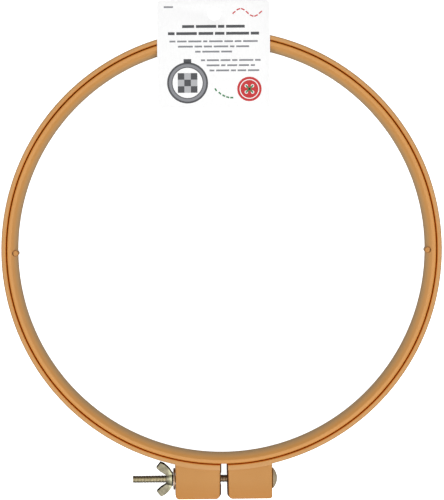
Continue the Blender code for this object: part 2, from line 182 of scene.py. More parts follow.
# Wing nut; a wing's corners are (from the axis, from the bearing face, rounding), in mm
NUT_BASE_RADIUS = 5.1 * MM
NUT_BACK_RADIUS = 3.7 * MM
NUT_HUB_LENGTH = 4.9 * MM
NUT_FOOT = 0.6 * MM
NUT_BACK_ROUND = 0.8 * MM
NUT_BASE_ROUND = 0.5 * MM
NUT_SMALL_ROUND = 0.2 * MM
WING_CORNERS = ((3.2, 0.3, 0), (5.1, 0.3, 2.0), (9.4, 2.6, 12), (13.1, 6.0, 7),
                (14.6, 8.8, 0.6), (10.1, 11.9, 0.6), (7.0, 8.9, 5), (3.2, 3.9, 0))
WING_THICKNESS = 2.8 * MM
WING_EDGE_ROUND = 0.3 * MM
WING_EDGE_START = NUT_BASE_RADIUS + 0.6 * MM
WING_TURN = math.radians(22)
CASTING_GRID = 0.15 * MM
CASTING_SOFTENING = 4

# Card
CARD_CORNER = 3.0 * MM
CARD_EDGE_ROUND = 0.08 * MM
CARD_RIM_CLEARANCE = 1.9 * MM
CARD_BACK_LEAN = 3.0 * MM
CARD_FRONT_LEAN = 24.0 * MM
CARD_FOLD_ROUND = 1.2 * MM
PEG_RADIUS = 4.55 * MM
PEG_DROP = 9.7 * MM
PEG_SHIFT = 0.75 * MM

# Print: a place is (right of the card's middle, down from its top edge), and a line of bars is
# (place, length, number of bars), in mm; bars and stitches are (length, height)
PRINT_STEP = 0.02 * MM
HEADING_LINES = (((0, 18.6), 44, 4), ((0, 23.5), 64, 6))
HEADING_HEIGHT = 2.0 * MM
TEXT_LINES = (((0, 29.0), 62, 8), ((0, 32.6), 50, 6), ((0, 36.2), 26, 3),
              ((12, 42.2), 42, 6), ((12, 45.8), 34, 5), ((14.5, 49.4), 35, 5))
TEXT_HEIGHT = 1.25 * MM
LINE_GAP = 1.2 * MM
CORNER_BAR = ((-31.5 * MM, 5.0 * MM), 6.5 * MM, 1.2 * MM)
BUTTON_PLACE = (25.0 * MM, 62.5 * MM)
BUTTON_RADIUS = 8.6 * MM
BUTTON_RING = (6.9 * MM, 6.3 * MM)
BUTTON_HOLE_PLACE = 2.2 * MM
BUTTON_HOLE_RADIUS = 1.15 * MM
BUTTON_THREAD = (7.4 * MM, 1.1 * MM)
RED_STITCH = (2.7 * MM, 0.9 * MM)
GREEN_STITCH = (2.2 * MM, 1.1 * MM)
HOOP_PLACE = (-18.5 * MM, 58.0 * MM)
HOOP_RINGS = (14.4 * MM, 13.1 * MM, 11.2 * MM, 10.6 * MM)
CLAMP_DROP = -15.4 * MM
CLAMP_BAR = (5.4 * MM, 2.6 * MM)
PATCH = 4.6 * MM
DISC_STEPS = 64
PRINT_RING_STEPS = 96

# Stage: soft boxes as (name, place, size, power), and the sky's strength from one height to
# another as (low, high, strength at the low one, strength at the high one)
SOFT_BOXES = (
    ("front_box", (0.1, -1.4, 1.3), 1.5, 9.65),
    ("left_box", (-1.4, 0.1, 1.3), 1.4, 7.5),
    ("right_box", (1.4, 0.1, 1.3), 1.4, 7.5),
)
SKY_BANDS = ((-0.15, 0.2, 0.16, 0.386), (0.7, 0.95, 0.0, 0.75))
TABLE_SIZE = 4
TABLE_DROP = 0.2 * MM
TABLE_GLOW = 0.97


def collection_of(name):
    collection = bpy.data.collections.new(name)
    bpy.context.scene.collection.children.link(collection)
    return collection


LOOKS = collection_of("looks")


def linear(red, green, blue):
    """Linear colour for an 8-bit screen colour."""
    def one(value):
        value /= 255
        return value / 12.92 if value <= 0.04045 else ((value + 0.055) / 1.055) ** 2.4
    return (one(red), one(green), one(blue), 1.0)


def scaled(colour, factor):
    return tuple(factor * value for value in colour[:3]) + (1.0,)


# Materials


class Finish:
    """A node material with a few helpers to wire its shader."""

    def __init__(self, name, colour, roughness, metallic=0.0):
        self.material = bpy.data.materials.new(name)
        self.material.use_nodes = True
        self.nodes = self.material.node_tree.nodes
        self.links = self.material.node_tree.links
        self.shader = self.nodes["Principled BSDF"]
        self.shader.inputs["Base Color"].default_value = colour
        self.shader.inputs["Roughness"].default_value = roughness
        self.shader.inputs["Metallic"].default_value = metallic
        self.place = self.nodes.new("ShaderNodeTexCoord").outputs["Object"]

    def feed(self, socket, value):
        """Link another node's output to a socket, or set a plain value on it."""
        if isinstance(value, bpy.types.NodeSocket):
            self.links.new(value, socket)
        else:
            socket.default_value = value

    def node(self, kind, inputs=None, **settings):
        node = self.nodes.new(kind)
        for name, value in settings.items():
            setattr(node, name, value)
        for name, value in (inputs or {}).items():
            self.feed(node.inputs[name], value)
        return node

    def noise(self, scale, detail=3.0, roughness=0.5, vector=None):
        return self.node("ShaderNodeTexNoise", {
            "Vector": vector or self.place, "Scale": scale, "Detail": detail,
            "Roughness": roughness}).outputs["Fac"]

    def axis(self, letter):
        """X, Y or Z place on the object."""
        return self.node("ShaderNodeSeparateXYZ", {"Vector": self.place}).outputs[letter]

    def stretch(self, scale):
        return self.node("ShaderNodeMapping", {
            "Vector": self.place, "Scale": scale}).outputs["Vector"]

    def ramp(self, value, low, high, to_low, to_high):
        return self.node("ShaderNodeMapRange", {
            "Value": value, "From Min": low, "From Max": high,
            "To Min": to_low, "To Max": to_high}).outputs["Result"]

    def mix(self, amount, first, second):
        node = self.node("ShaderNodeMix", data_type="RGBA")
        self.feed(node.inputs["Factor"], amount)
        self.feed(node.inputs[6], first)
        self.feed(node.inputs[7], second)
        return node.outputs[2]

    def distance(self, value, middle):
        """How far a value lies from a middle, either way."""
        shifted = self.node("ShaderNodeMath", {0: value, 1: -middle}, operation="ADD")
        return self.node("ShaderNodeMath", {0: shifted.outputs[0]},
                         operation="ABSOLUTE").outputs[0]

    def bump(self, height, strength, depth, before=None):
        inputs = {"Height": height, "Strength": strength, "Distance": depth}
        if before:
            inputs["Normal"] = before
        return self.node("ShaderNodeBump", inputs).outputs["Normal"]

    def wire(self, socket, value):
        self.links.new(value, self.shader.inputs[socket])


def moulded_plastic(name, colour, shade, sheen=0.12, tint=None, tint_from=0.0, tint_to=1.0,
                    along="radius", gloss=0.5):
    """Satin tan plastic: faint flow marks along the hoop, fine mould texture and pigment.

    A tint, if given, grows from one radius or Y place on the moulding to another; the outer hoop's
    tint is painted shade at its rim, the inner hoop's a painted reflection on its wall.
    """
    finish = Finish(name, colour, 0.4)
    parts = finish.node("ShaderNodeSeparateXYZ", {"Vector": finish.place}).outputs
    flat = finish.node("ShaderNodeCombineXYZ", {"X": parts["X"], "Y": parts["Y"]})
    radius = finish.node("ShaderNodeVectorMath", {0: flat.outputs["Vector"]},
                         operation="LENGTH").outputs["Value"]
    rings = finish.node("ShaderNodeCombineXYZ", {"X": radius, "Y": parts["Z"]})
    flow = finish.noise(900, 2, 0.5, rings.outputs["Vector"])
    cloud = finish.noise(35, 3)
    pigment = finish.noise(5200, 2, 0.6)
    tone = finish.mix(finish.ramp(cloud, 0.3, 0.7, 0.0, 1.0), colour, shade)
    if tint:
        place = radius if along == "radius" else parts["Y"]
        tone = finish.mix(finish.ramp(place, tint_from, tint_to, 0.0, 1.0), tone, tint)
    speck = finish.ramp(pigment, 0.3, 0.75, 0.0, 0.10)
    tone = finish.mix(speck, tone, scaled(shade, 0.72))
    streak = finish.ramp(flow, 0.35, 0.65, 0.0, 0.07)
    tone = finish.mix(streak, tone, scaled(colour, 1.12))
    finish.wire("Base Color", tone)
    finish.wire("Roughness", finish.ramp(finish.noise(260, 4), 0.3, 0.7, 0.33, 0.46))
    grain = finish.bump(finish.noise(3600, 3, 0.6), 0.12, 0.05 * MM)
    finish.wire("Normal", finish.bump(flow, 0.10, 0.1 * MM, grain))
    finish.shader.inputs["IOR"].default_value = 1.49
    finish.shader.inputs["Specular IOR Level"].default_value = gloss
    finish.shader.inputs["Sheen Weight"].default_value = sheen
    finish.shader.inputs["Sheen Roughness"].default_value = 0.35
    return finish.material


def plated_metal(name, colour, dull, roughness, grain_scale, grain_depth, stretch=(1, 1, 1),
                 flanks=None, metallic=1.0, glow=None):
    """Plated metal: cloudy plating, small pits and fine tool marks.

    With flanks, a pair of distances from the bolt's lit band, it darkens in painted shade from one
    to the other.
    With glow, (place, place, colour), it takes that colour from one X place to the other; it
    paints shade on the bolt head and a highlight on the nut.
    """
    finish = Finish(name, colour, roughness, metallic)
    cloud = finish.noise(420, 4, 0.6)
    tone = finish.mix(finish.ramp(cloud, 0.32, 0.68, 0.0, 1.0), colour, dull)
    pits = finish.ramp(finish.noise(2600, 2), 0.62, 0.72, 0.0, 0.45)
    tone = finish.mix(pits, tone, scaled(dull, 0.35))
    if flanks:
        # Painted shade: away from the lit band the plating darkens to near black.
        away = finish.distance(finish.axis("Y"), LIT_SHIFT - BOLT_LINE)
        tone = finish.mix(finish.ramp(away, flanks[0], flanks[1], 0.0, 0.85), tone,
                          (0.02, 0.016, 0.01, 1))
    if glow:
        start, end, tint = glow
        tone = finish.mix(finish.ramp(finish.axis("X"), start, end, 0.0, 1.0), tone, tint)
    finish.wire("Base Color", tone)
    finish.wire("Roughness", finish.ramp(cloud, 0.3, 0.7, roughness - 0.07, roughness + 0.1))
    marks = finish.noise(grain_scale, 3, 0.6, finish.stretch(stretch))
    finish.wire("Normal", finish.bump(marks, 0.3, grain_depth))
    return finish.material


def paper_board(name, colour):
    """Coated paper board: a faint fibre mottle and a soft sheen."""
    finish = Finish(name, colour, 0.5)
    fibre = finish.noise(900, 5, 0.65, finish.stretch((1, 0.35, 1)))
    finish.wire("Base Color", finish.mix(finish.ramp(fibre, 0.35, 0.65, 0, 1), colour,
                                          scaled(colour, 0.965)))
    finish.wire("Roughness", finish.ramp(finish.noise(140, 3), 0.3, 0.7, 0.42, 0.56))
    finish.wire("Normal", finish.bump(fibre, 0.06, 0.05 * MM))
    return finish.material


def printed_ink(name, colour):
    """Ink on board, a little uneven where the board shows through."""
    finish = Finish(name, colour, 0.45)
    worn = finish.ramp(finish.noise(2400, 3), 0.5, 0.85, 0.0, 0.12)
    finish.wire("Base Color", finish.mix(worn, colour, linear(235, 235, 234)))
    return finish.material


# The hoops' plastic, piece by piece
BAR_PLASTIC = moulded_plastic("bar_plastic", linear(207, 152, 89), linear(202, 147, 83))
# Painted shade on the upright sides of the outer hoop and its lugs.
SIDE_SHADE_PLASTIC = moulded_plastic("side_painted_shade", linear(204, 146, 81), linear(199, 142, 77))
# Painted shade: the outer hoop darkens and greys over its last millimetre out to the rim.
OUTER_PLASTIC = moulded_plastic(
    "outer_plastic", linear(207, 152, 89), linear(202, 147, 83),
    tint=linear(184, 143, 89), tint_from=RIM - 1.0 * MM, tint_to=RIM)
LUG_PLASTIC = moulded_plastic(
    "lug_plastic", linear(198, 139, 68), linear(194, 135, 64),
    tint=linear(191, 126, 47), tint_from=-BOLT_LINE, tint_to=-LUG_END, along="Y")
# Painted reflection: the inner wall turns paler and greyer from just inside the crown to its
# innermost edge.
INNER_PLASTIC = moulded_plastic(
    "inner_plastic", linear(213, 151, 79), linear(208, 147, 76),
    tint=linear(207, 173, 128), tint_from=CROWN_INSIDE - 1.2 * MM, tint_to=BULGE_INSIDE)
# Painted shade: deeper, redder oranges for the seam's walls and its rounded lips.
SEAM_SHADE_PLASTIC = moulded_plastic(
    "seam_painted_shade", linear(229, 118, 3), linear(221, 112, 3), sheen=0.0, gloss=0.15)
LIP_SHADE_PLASTIC = moulded_plastic(
    "lip_painted_shade", linear(207, 136, 56), linear(202, 130, 52), sheen=0.0, gloss=0.15)
# Painted shade round the bosses' rims and in their moats.
BOSS_RIM_SHADE_PLASTIC = moulded_plastic(
    "boss_rim_painted_shade", linear(180, 114, 50), linear(175, 109, 47), sheen=0.0)
# Painted shade on the walls and rounded corners of the gap between the lugs.
GAP_CORNER_SHADE_PLASTIC = moulded_plastic(
    "gap_corner_painted_shade", linear(165, 109, 52), linear(159, 103, 48), sheen=0.0)
GAP_SHADE_PLASTIC = moulded_plastic(
    "gap_painted_shade", linear(116, 66, 27), linear(109, 60, 23), sheen=0.0)

# The clamp's metals; the head has painted shade in the lug's colour at its foot, and the nut a
# painted highlight at its hub
BOLT_STEEL = plated_metal(
    "bolt_plating", linear(214, 203, 170), linear(192, 181, 148),
    roughness=0.34, grain_scale=1800, grain_depth=0.03 * MM,
    stretch=(0.2, 1, 1), flanks=(0.1 * BOLT_RADIUS, 0.95 * BOLT_RADIUS))
# Painted shade on the thread in the gap between the lugs.
BOLT_GAP_SHADE = plated_metal(
    "bolt_gap_painted_shade", linear(175, 150, 122), linear(154, 128, 101),
    roughness=0.4, grain_scale=1800, grain_depth=0.03 * MM,
    stretch=(0.2, 1, 1), flanks=(0.4 * BOLT_RADIUS, BOLT_RADIUS))
# Painted shade in the lug's brown on the head's foot, beside the lug.
HEAD_STEEL = plated_metal(
    "head_plating", linear(215, 200, 169), linear(200, 184, 153),
    roughness=0.5, grain_scale=1800, grain_depth=0.02 * MM, metallic=0.4,
    glow=(LUG_OUTER_FACE + 0.62 * MM, LUG_OUTER_FACE + 0.25 * MM, linear(155, 107, 50)))
WASHER_STEEL = plated_metal(
    "washer_plating", linear(182, 157, 132), linear(157, 132, 109),
    roughness=0.3, grain_scale=2400, grain_depth=0.02 * MM)
# Painted highlight: the nut brightens over its hub towards its bearing face.
NUT_METAL = plated_metal(
    "nut_plating", linear(151, 145, 124), linear(132, 126, 105),
    roughness=0.4, grain_scale=1500, grain_depth=0.05 * MM,
    glow=(NUT_FACE - 3.6 * MM, NUT_FACE - 1.5 * MM, linear(208, 206, 171)))
# Painted shade for the wings' narrow edges and the nut's foot at its bearing face.
WING_EDGE_SHADE_METAL = plated_metal(
    "wing_edge_painted_shade", linear(45, 43, 37), linear(37, 35, 29),
    roughness=0.4, grain_scale=1500, grain_depth=0.05 * MM)

# The card's board and inks
BOARD = paper_board("card_paper", linear(254, 254, 254))
INK_GREY = printed_ink("ink_grey", linear(70, 71, 75))
INK_PALE = printed_ink("ink_pale_grey", linear(136, 137, 142))
INK_SILVER = printed_ink("ink_silver", linear(180, 181, 184))
INK_RED = printed_ink("ink_red", linear(199, 29, 33))
INK_GREEN = printed_ink("ink_green", linear(47, 126, 72))


# Mesh helpers


def rounded(corners, closed=True):
    """Outline through (a, b, radius) corners, with each corner turned into an arc.

    A large or long arc gets more steps.
    """
    outline = []
    for index, (a, b, radius) in enumerate(corners):
        corner = Vector((a, b))
        at_end = not closed and index in (0, len(corners) - 1)
        if radius == 0 or at_end:
            outline.append(corner)
            continue
        before = (Vector(corners[index - 1][:2]) - corner).normalized()
        after = (Vector(corners[(index + 1) % len(corners)][:2]) - corner).normalized()
        half_angle = before.angle(after) / 2
        centre = corner + (before + after).normalized() * radius / math.sin(half_angle)
        start = corner + before * radius / math.tan(half_angle) - centre
        end = corner + after * radius / math.tan(half_angle) - centre
        sweep = math.atan2(start.cross(end), start.dot(end))
        steps = max(4, round(abs(sweep) * math.sqrt(radius / MM) * 4))
        for step in range(steps + 1):
            outline.append(centre + Matrix.Rotation(sweep * step / steps, 2) @ start)
    return outline


def wire_outline(shape, points, closed=True):
    """Vertices and edges through 3D points."""
    verts = [shape.verts.new(point) for point in points]
    edges = [shape.edges.new(pair) for pair in zip(verts, verts[1:])]
    if closed:
        edges.append(shape.edges.new((verts[-1], verts[0])))
    return verts + edges


def verts_in(geometry):
    return [item for item in geometry if isinstance(item, bmesh.types.BMVert)]


def edges_in(geometry):
    return [item for item in geometry if isinstance(item, bmesh.types.BMEdge)]


def flat_rims(shape):
    """Edges round the faces that lie level."""
    shape.normal_update()
    return [edge for edge in shape.edges
            if any(abs(face.normal.z) > 0.9 for face in edge.link_faces)]


def settle(shape, distance=WELD):
    bmesh.ops.remove_doubles(shape, verts=shape.verts, dist=distance)
    bmesh.ops.recalc_face_normals(shape, faces=shape.faces)


def smooth_faces(mesh, smooth_angle=35):
    mesh.shade_smooth()
    mesh.set_sharp_from_angle(angle=math.radians(smooth_angle))


def object_from(name, shape, material=None, smooth_angle=35):
    mesh = bpy.data.meshes.new(name)
    shape.to_mesh(mesh)
    shape.free()
    if material:
        mesh.materials.append(material)
    smooth_faces(mesh, smooth_angle)
    thing = bpy.data.objects.new(name, mesh)
    LOOKS.objects.link(thing)
    return thing


def tool_from(shape):
    """Bare object that a boolean step uses up."""
    return object_from("tool", shape)


def spin_round(shape, geometry, steps):
    bmesh.ops.spin(shape, geom=geometry, cent=(0, 0, 0), axis=(0, 0, 1), angle=TAU,
                   steps=steps, use_merge=True)


def turned_shape(outline, steps, middle=0.0):
    """Closed body turned round Z from a closed (r, z) outline."""
    shape = bmesh.new()
    spin_round(shape, wire_outline(shape, [(r, 0, z + middle) for r, z in outline]), steps)
    settle(shape)
    return shape


def plate_shape(outline, low, high):
    """Flat plate with an (x, y) outline, between two heights."""
    shape = bmesh.new()
    face = shape.faces.new([shape.verts.new((x, y, low)) for x, y in outline])
    grown = bmesh.ops.extrude_face_region(shape, geom=[face])["geom"]
    bmesh.ops.translate(shape, verts=verts_in(grown), vec=(0, 0, high - low))
    settle(shape)
    return shape


def round_edges(shape, edges, width, segments=4):
    bmesh.ops.bevel(shape, geom=edges, offset=width, offset_type="OFFSET", segments=segments,
                    profile=0.5, affect="EDGES", material=-1, clamp_overlap=True)


def rod_shape(radius, length, centre, steps, axis="Z"):
    shape = bmesh.new()
    bmesh.ops.create_cone(shape, cap_ends=True, segments=steps, radius1=radius,
                          radius2=radius, depth=length)
    if axis == "X":
        bmesh.ops.rotate(shape, verts=shape.verts, matrix=Matrix.Rotation(math.pi / 2, 3, "Y"))
    bmesh.ops.translate(shape, verts=shape.verts, vec=centre)
    return shape


def box_shape(low, high):
    low, high = Vector(low), Vector(high)
    shape = bmesh.new()
    bmesh.ops.create_cube(shape, size=1)
    bmesh.ops.scale(shape, verts=shape.verts, vec=high - low)
    bmesh.ops.translate(shape, verts=shape.verts, vec=(low + high) / 2)
    return shape


def apply_modifiers(thing):
    """Bake the modifiers into the mesh."""
    view = bpy.context.evaluated_depsgraph_get()
    mesh = bpy.data.meshes.new_from_object(thing.evaluated_get(view))
    old = thing.data
    thing.modifiers.clear()
    thing.data = mesh
    bpy.data.meshes.remove(old)


def cut_and_join(thing, steps):
    """Boolean steps, each (operation, tool object), then the tools and their slots are dropped."""
    for operation, tool in steps:
        step = thing.modifiers.new(operation.lower(), "BOOLEAN")
        step.operation = operation
        step.solver = "MANIFOLD"
        step.object = tool
    apply_modifiers(thing)
    while len(thing.data.materials) > 1:
        thing.data.materials.pop()
    for face in thing.data.polygons:
        face.material_index = 0
    for _, tool in steps:
        bpy.data.objects.remove(tool, do_unlink=True)


# Deeper tones of painted shade, and paler plain tones, for some faces of a piece


def add_slots(thing, *materials):
    """Give a piece more materials, and say which slots they have."""
    first = len(thing.data.materials)
    for material in materials:
        thing.data.materials.append(material)
    return range(first, first + len(materials))


def paint_seam_shade(thing, seam_radius):
    """Paint shade on the walls of the seam and groove, and on the seam's rounded lips, in deeper,
    redder tones.
    """
    wall, lip = add_slots(thing, SEAM_SHADE_PLASTIC, LIP_SHADE_PLASTIC)
    for face in thing.data.polygons:
        out = Vector((face.center.x, face.center.y, 0))
        if abs(out.length - seam_radius) > SEAM_ROUND:
            continue
        facing = abs(face.normal.dot(out.normalized()))
        if facing > 0.85:
            face.material_index = wall
        elif facing > 0.1:
            face.material_index = lip


def tone_bosses(thing):
    """Give the bosses' flat tops a plain tone, and their rims and moats a deeper tone of painted
    shade.
    """
    top, rim = add_slots(thing, LUG_PLASTIC, BOSS_RIM_SHADE_PLASTIC)
    reach = BOSS_RADIUS + MOAT_WIDTH + MOAT_TONE_MARGIN
    lowest = MIDDLE + MOAT_FLOOR - MOAT_TONE_MARGIN
    for face in thing.data.polygons:
        x, y, z = face.center
        away = math.hypot(abs(x) - BOSS_MIDDLE, y)
        if away < reach and z > lowest:
            on_top = face.normal.z > 0.95 and away < BOSS_RADIUS
            face.material_index = top if on_top else rim


def tone_lugs(thing):
    """Give the lugs and the bar over them their tones, and the gap's walls and corners and the
    sides painted shade.
    """
    plain = 0
    lug, gap, corner, bar, side = add_slots(
        thing, LUG_PLASTIC, GAP_SHADE_PLASTIC, GAP_CORNER_SHADE_PLASTIC, BAR_PLASTIC, SIDE_SHADE_PLASTIC)
    gap_reach = LUG_INNER_FACE + LUG_GAP_DRAFT + LUG_DRAFT
    for face in thing.data.polygons:
        x, y, _ = face.center
        upright = abs(face.normal.z) < 0.3
        if y > 0 or abs(x) > LUG_OUTER_FACE + LUG_TONE_MARGIN:
            if upright and face.material_index == plain:
                face.material_index = side
            continue
        from_gap = abs(x - GAP_SHIFT)
        facing = abs(face.normal.x)
        # Painted shade on the gap's walls, then on its rounded corners.
        if from_gap < gap_reach and facing > 0.8:
            face.material_index = gap
        elif from_gap < gap_reach + LUG_INNER_CORNER and facing > 0.35:
            face.material_index = corner
        elif math.hypot(x, y) > RIM + LUG_RIM_WIDTH:
            face.material_index = side if upright else lug
        elif face.material_index == plain:
            face.material_index = bar


# Hoops


def inner_hoop_outline():
    crown = [
        (CROWN_INSIDE, HALF_HEIGHT, CROWN_ROUND),
        (HOOP_RADIUS, HALF_HEIGHT, SEAM_ROUND),
        (HOOP_RADIUS, GROOVE_HALF_HEIGHT, GROOVE_MOUTH_ROUND),
        (GROOVE_FLOOR, GROOVE_HALF_HEIGHT, GROOVE_FLOOR_ROUND),
    ]
    foot = [(r, -z, radius) for r, z, radius in reversed(crown)]
    return rounded([(BULGE_POINT, 0, BULGE_ROUND)] + crown + foot)


def make_inner_hoop():
    """Inner hoop with a boss in a narrow moat at 9 and 3 o'clock."""
    shape = turned_shape(inner_hoop_outline(), RING_STEPS, MIDDLE)
    hoop = object_from("inner_hoop_moulding", shape, INNER_PLASTIC)
    steps = []
    for side in (-1, 1):
        centre = Vector((side * BOSS_MIDDLE, 0, MIDDLE))
        moat = rod_shape(BOSS_RADIUS + MOAT_WIDTH, HALF_HEIGHT,
                         centre + Vector((0, 0, MOAT_FLOOR + HALF_HEIGHT / 2)), BORE_STEPS)
        boss = rod_shape(BOSS_RADIUS, BOSS_TOP - BOSS_FOOT,
                         centre + Vector((0, 0, (BOSS_TOP + BOSS_FOOT) / 2)), BORE_STEPS)
        round_edges(boss, flat_rims(boss), BOSS_EDGE_ROUND)
        limit = rod_shape(GROOVE_FLOOR - BOSS_GROOVE_CLEARANCE, 4 * HALF_HEIGHT,
                          (0, 0, MIDDLE), BOSS_LIMIT_STEPS)
        boss = tool_from(boss)
        cut_and_join(boss, [("INTERSECT", tool_from(limit))])
        steps += [("DIFFERENCE", tool_from(moat)), ("UNION", boss)]
    cut_and_join(hoop, steps)
    smooth_faces(hoop.data)
    paint_seam_shade(hoop, HOOP_RADIUS)
    tone_bosses(hoop)
    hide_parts("inner_hoop")
    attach(hoop, "inner_hoop")


def outer_hoop_outline():
    return rounded([
        (OUTER_INSIDE, HALF_HEIGHT, BAR_SEAM_ROUND),
        (RIM, HALF_HEIGHT, BAR_ROUND),
        (RIM, -HALF_HEIGHT, BAR_ROUND),
        (OUTER_INSIDE, -HALF_HEIGHT, BAR_SEAM_ROUND),
        (OUTER_INSIDE, -TONGUE_HALF_HEIGHT, TONGUE_ROOT_ROUND),
        (OUTER_INSIDE - TONGUE_DEPTH, -TONGUE_HALF_HEIGHT, TONGUE_NOSE_ROUND),
        (OUTER_INSIDE - TONGUE_DEPTH, TONGUE_HALF_HEIGHT, TONGUE_NOSE_ROUND),
        (OUTER_INSIDE, TONGUE_HALF_HEIGHT, TONGUE_ROOT_ROUND),
    ])


def lug_outline(side, draft):
    """Lug outline at its parting line (draft 0) or at its top and bottom (draft 1).

    It is drawn in past the hoop's bar, which the saddle cut then takes away.
    """
    root = OUTER_INSIDE - TONGUE_DEPTH
    outer_root = math.sqrt(root ** 2 - LUG_OUTER_FACE ** 2)
    gap_face = LUG_INNER_FACE + side * GAP_SHIFT + draft * LUG_GAP_DRAFT
    end = draft * LUG_SIDE_DRAFT - LUG_END - LUG_END_GROWTH
    outer_face = LUG_OUTER_FACE - draft * LUG_SIDE_DRAFT
    return rounded([
        (side * gap_face, -root, 0),
        (side * gap_face, -RIM, 0),
        (side * (gap_face + LUG_DRAFT), end, LUG_INNER_CORNER),
        (side * outer_face, end, LUG_OUTER_CORNERS[side]),
        (side * outer_face, -outer_root, 0),
    ])


def lug_tool(side):
    """Lug drafted up and down from its parting line, hollowed to sit on the bar."""
    shape = bmesh.new()
    rings = []
    for draft, height in ((1, BASE + LUG_RECESS), (0, MIDDLE), (1, TOP - LUG_RECESS)):
        ring = wire_outline(shape, [(x, y, height) for x, y in lug_outline(side, draft)])
        rings.append(edges_in(ring))
    for lower, upper in zip(rings, rings[1:]):
        bmesh.ops.bridge_loops(shape, edges=lower + upper)
    for ring in (rings[0], rings[-1]):
        bmesh.ops.contextual_create(shape, geom=ring)
    bmesh.ops.recalc_face_normals(shape, faces=shape.faces)
    round_edges(shape, flat_rims(shape), LUG_EDGE_ROUND)
    lug = tool_from(shape)
    saddle = rod_shape(BAR_MIDDLE, 4 * HALF_HEIGHT, (0, 0, MIDDLE), RING_STEPS)
    cut_and_join(lug, [("DIFFERENCE", tool_from(saddle))])
    return lug


def gap_tool():
    """The split at the clamp, narrowest at the parting line and drafted up and down."""
    wide = LUG_INNER_FACE + 2 * LUG_GAP_DRAFT
    shape = plate_shape([(LUG_INNER_FACE, 0), (wide, 2 * HALF_HEIGHT), (-wide, 2 * HALF_HEIGHT),
                         (-LUG_INNER_FACE, 0), (-wide, -2 * HALF_HEIGHT),
                         (wide, -2 * HALF_HEIGHT)], 0, 2 * RIM)
    bmesh.ops.rotate(shape, verts=shape.verts, matrix=Matrix.Rotation(math.pi / 2, 3, "X"))
    bmesh.ops.translate(shape, verts=shape.verts, vec=(GAP_SHIFT, 0, MIDDLE))
    return tool_from(shape)


def lug_rim_tool(side):
    """Raised rim that carries the bar's top and bottom a little way onto the lug."""
    reach = HALF_HEIGHT - LUG_RIM_DROP
    edge = RIM + LUG_RIM_WIDTH
    rim = tool_from(turned_shape(rounded([
        (BAR_MIDDLE, reach, 0),
        (edge, reach, LUG_RIM_ROUND),
        (edge, -reach, LUG_RIM_ROUND),
        (BAR_MIDDLE, -reach, 0),
    ]), RING_STEPS, MIDDLE))
    part = plate_shape(lug_outline(side, 1), BASE - TOP, 2 * TOP)
    cut_and_join(rim, [("INTERSECT", tool_from(part))])
    return rim


def make_outer_hoop():
    """One springy moulding, split at the clamp, in place of the frame's two outer hoop halves."""
    shape = turned_shape(outer_hoop_outline(), RING_STEPS, MIDDLE)
    hoop = object_from("outer_hoop_moulding", shape, OUTER_PLASTIC)
    steps = [("DIFFERENCE", gap_tool())]
    for side, bore in ((-1, SWING_BORE), (1, SHANK_BORE)):
        steps.append(("UNION", lug_tool(side)))
        steps.append(("UNION", lug_rim_tool(side)))
        centre = (side * (LUG_INNER_FACE + LUG_LENGTH / 2), -BOLT_LINE, MIDDLE)
        steps.append(("DIFFERENCE", tool_from(
            rod_shape(bore, LUG_LENGTH + LUG_GAP, centre, BORE_STEPS, "X"))))
    pocket = NECK_WIDTH / 2 + NECK_CLEARANCE
    steps.append(("DIFFERENCE", tool_from(box_shape(
        (LUG_OUTER_FACE - NECK_LENGTH - NECK_CLEARANCE, -BOLT_LINE - pocket, MIDDLE - pocket),
        (LUG_OUTER_FACE + NECK_LENGTH, -BOLT_LINE + pocket, MIDDLE + pocket)))))
    cut_and_join(hoop, steps)
    smooth_faces(hoop.data)
    paint_seam_shade(hoop, OUTER_INSIDE)
    tone_lugs(hoop)
    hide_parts("outer_hoop_left", "outer_hoop_right")
    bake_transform(hoop)


# Clamp hardware


def along_bolt(shape, x):
    """Turn a shape built on +Z so that it points to +X, and put it on the bolt."""
    bmesh.ops.rotate(shape, verts=shape.verts, matrix=Matrix.Rotation(math.pi / 2, 3, "Y"))
    bmesh.ops.translate(shape, verts=shape.verts, vec=(x, -BOLT_LINE, MIDDLE))


def bolt_shank_shape():
    """Rolled thread as one helix, cut square at the tip and under the neck."""
    root = BOLT_RADIUS - THREAD_DEPTH
    flank = (THREAD_PITCH - THREAD_CREST) / 2
    outline = [
        (root, 0),
        (BOLT_RADIUS, flank),
        (BOLT_RADIUS, flank + THREAD_CREST),
        (root, THREAD_PITCH),
    ]
    length = LUG_OUTER_FACE - NECK_LENGTH - BOLT_TIP
    shape = bmesh.new()
    geometry = wire_outline(shape, [(r, 0, z) for r, z in outline], closed=False)
    bmesh.ops.spin(shape, geom=geometry, cent=(0, 0, 0), axis=(0, 0, 1), angle=TAU,
                   steps=THREAD_STEPS, dvec=(0, 0, THREAD_PITCH / THREAD_STEPS))
    turns = 1
    while turns * THREAD_PITCH < length + 3 * THREAD_PITCH:
        copy = bmesh.ops.duplicate(shape, geom=shape.verts[:] + shape.edges[:] + shape.faces[:])
        bmesh.ops.translate(shape, verts=verts_in(copy["geom"]),
                            vec=(0, 0, turns * THREAD_PITCH))
        turns *= 2
    bmesh.ops.remove_doubles(shape, verts=shape.verts, dist=2 * WELD)
    start = 1.5 * THREAD_PITCH
    for cut, outwards in ((start, -1), (start + length, 1)):
        bmesh.ops.bisect_plane(shape, geom=shape.verts[:] + shape.edges[:] + shape.faces[:],
                               dist=0.1 * WELD, plane_co=(0, 0, cut),
                               plane_no=(0, 0, outwards), clear_outer=True)
    rim = [edge for edge in shape.edges if edge.is_boundary]
    bmesh.ops.holes_fill(shape, edges=rim, sides=0)
    settle(shape, 2 * WELD)
    bmesh.ops.translate(shape, verts=shape.verts, vec=(0, 0, -start))
    along_bolt(shape, BOLT_TIP)
    return shape


